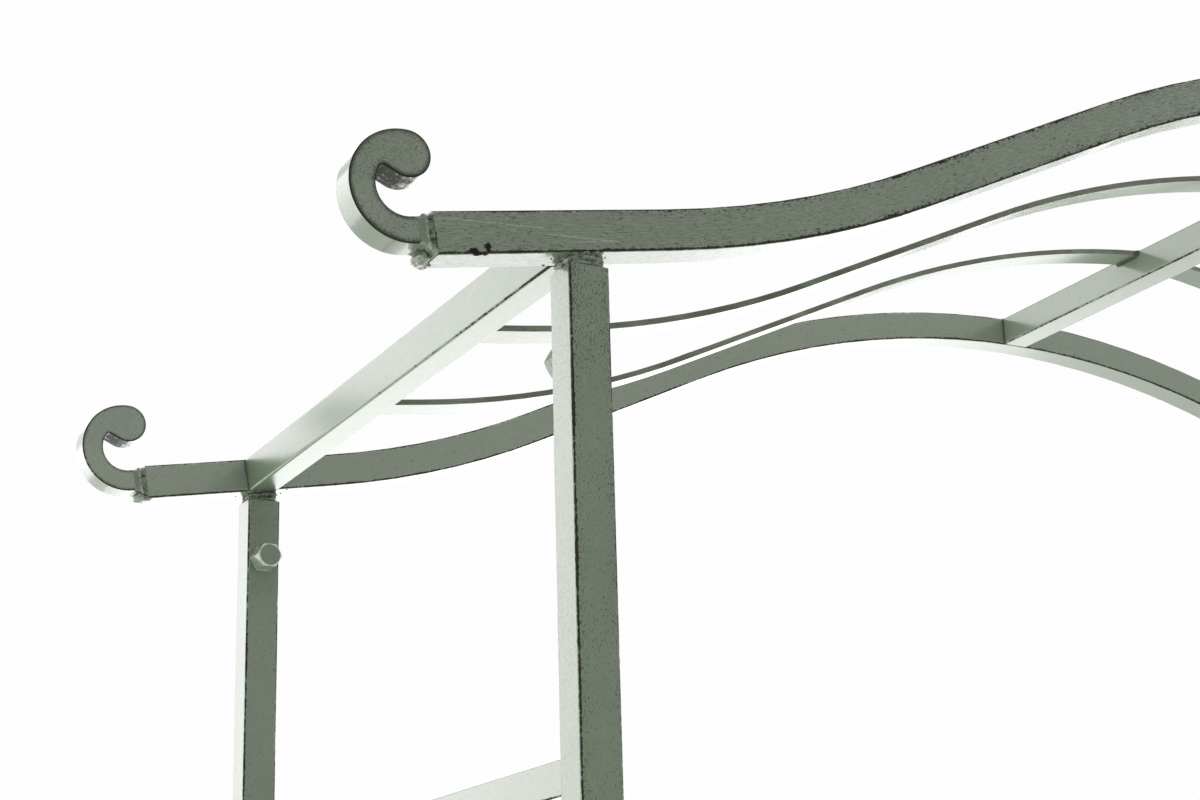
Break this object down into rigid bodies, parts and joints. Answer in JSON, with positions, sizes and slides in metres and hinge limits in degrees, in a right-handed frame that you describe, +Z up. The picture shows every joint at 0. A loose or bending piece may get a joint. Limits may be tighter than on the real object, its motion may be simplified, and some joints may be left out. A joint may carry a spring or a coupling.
{
  "type": "garden arch",
  "caption": "Walk-through garden arch of welded square tube: a curved pagoda-line canopy with scroll ends and roof slats drops into ladder-like side frames and is locked by set bolts.",
  "frame": {"origin": "on the ground, under the middle of the ridge bar", "axes": "+X across the walkway to the right, +Y along the walkway to the back, +Z up"},
  "size_m": [1.7414, 0.618, 2.2983],
  "materials": {
    "painted_tube": "sage grey-green paint, worn to dark metal along the edges",
    "painted_bar": "sage grey-green paint with dark pits",
    "weld_metal": "lumpy weld, thinly painted over",
    "fastener_steel": "plated steel, partly painted over"
  },
  "bodies": {
    "left_side": {"front_left_post": "painted_tube", "front_left_foot": "painted_tube", "back_left_post": "painted_tube", "back_left_foot": "painted_tube", "left_rung_1": "painted_tube", "left_rung_2": "painted_tube", "left_rung_3": "painted_tube", "left_rung_4": "painted_tube", "left_rung_5": "painted_tube", "left_nuts": "fastener_steel"},
    "canopy": {"front_rail": "painted_tube", "back_rail": "painted_tube", "left_eave_bar": "painted_tube", "right_eave_bar": "painted_tube", "ridge_bar": "painted_tube", "front_left_scroll": "painted_bar", "front_left_slat": "painted_bar", "front_left_spigot": "painted_tube", "front_right_scroll": "painted_bar", "front_right_slat": "painted_bar", "front_right_spigot": "painted_tube", "back_left_scroll": "painted_bar", "back_left_slat": "painted_bar", "back_left_spigot": "painted_tube", "back_right_scroll": "painted_bar", "back_right_slat": "painted_bar", "back_right_spigot": "painted_tube", "scroll_welds": "weld_metal", "spigot_welds": "weld_metal"},
    "right_side": {"front_right_post": "painted_tube", "front_right_foot": "painted_tube", "back_right_post": "painted_tube", "back_right_foot": "painted_tube", "right_rung_1": "painted_tube", "right_rung_2": "painted_tube", "right_rung_3": "painted_tube", "right_rung_4": "painted_tube", "right_rung_5": "painted_tube", "right_nuts": "fastener_steel"},
    "front_left_bolt": {"front_left_bolt": "fastener_steel"},
    "front_right_bolt": {"front_right_bolt": "fastener_steel"},
    "back_left_bolt": {"back_left_bolt": "fastener_steel"},
    "back_right_bolt": {"back_right_bolt": "fastener_steel"}
  },
  "joints": [
    {"name": "canopy_lift", "type": "slide", "parent": "left_side", "child": "canopy", "axis": [0, 0, 1], "range_m": [0, 0.08]},
    {"name": "right_side_slide", "type": "slide", "parent": "canopy", "child": "right_side", "axis": [0, 0, -1], "range_m": [0, 0.08]},
    {"name": "front_left_bolt_slide", "type": "slide", "parent": "left_side", "child": "front_left_bolt", "axis": [0, 1, 0], "range_m": [0, 0.01]},
    {"name": "front_right_bolt_slide", "type": "slide", "parent": "right_side", "child": "front_right_bolt", "axis": [0, 1, 0], "range_m": [0, 0.01]},
    {"name": "back_left_bolt_slide", "type": "slide", "parent": "left_side", "child": "back_left_bolt", "axis": [0, -1, 0], "range_m": [0, 0.01]},
    {"name": "back_right_bolt_slide", "type": "slide", "parent": "right_side", "child": "back_right_bolt", "axis": [0, -1, 0], "range_m": [0, 0.01]}
  ],
  "couplings": [
    {"joint": "right_side_slide", "follows": "canopy_lift", "ratio": 1}
  ]
}
